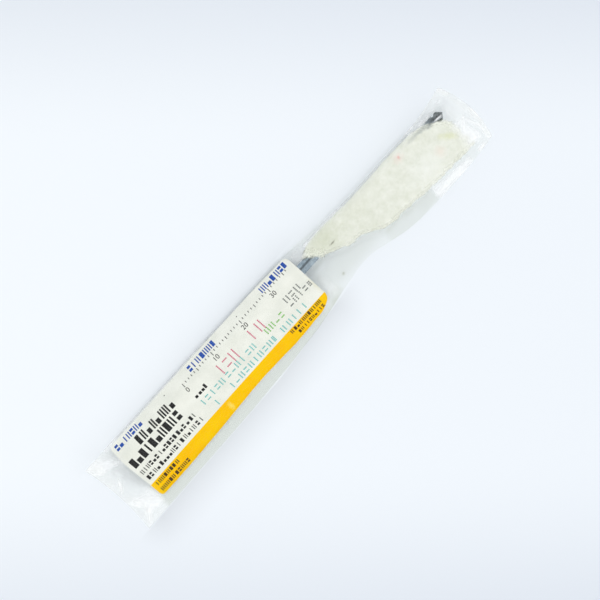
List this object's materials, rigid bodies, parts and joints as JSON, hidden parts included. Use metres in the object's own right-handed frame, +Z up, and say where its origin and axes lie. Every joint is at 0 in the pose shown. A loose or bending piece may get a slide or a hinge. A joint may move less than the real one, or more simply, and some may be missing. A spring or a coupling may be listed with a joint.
{
  "type": "surgical drill bit",
  "caption": "Long surgical spiral drill with a quick-coupling tail, folded in wadding and sealed with a printed card in a clear film sleeve.",
  "frame": {"origin": "centre of the sleeve's outline, on the surface it lies on", "axes": "+X along the sleeve and the drill, towards the drill's point; +Y across, towards the side the drill lies on; +Z up, out of the front film"},
  "size_m": [0.1248, 0.0204, 0.0055],
  "materials": {
    "drill_steel": "ground, dark satin",
    "coupling_steel": "turned satin",
    "printed_card": "smooth, printed, matt",
    "wadding": "creped, matt, fibrous",
    "clear_film": "clear, glossy"
  },
  "bodies": {
    "sleeve": {"back_film": "clear_film", "front_film": "clear_film"},
    "card": {"card": "printed_card"},
    "wadding": {"wadding_inner_ply": "wadding", "wadding_middle_ply": "wadding", "wadding_outer_ply": "wadding"},
    "drill": {"drill_rod": "drill_steel", "coupling_hub": "coupling_steel"}
  },
  "joints": [
    {"name": "card_slide", "type": "slide", "parent": "sleeve", "child": "card", "axis": [1, 0, 0], "range_m": [-0.0015, 0.0008]},
    {"name": "wadding_slide", "type": "slide", "parent": "sleeve", "child": "wadding", "axis": [1, 0, 0], "range_m": [-0.0008, 0.0012]},
    {"name": "drill_spin", "type": "hinge", "parent": "wadding", "child": "drill", "pos_m": [0, 0.0038, 0.00247], "axis": [1, 0, 0], "continuous": true}
  ]
}
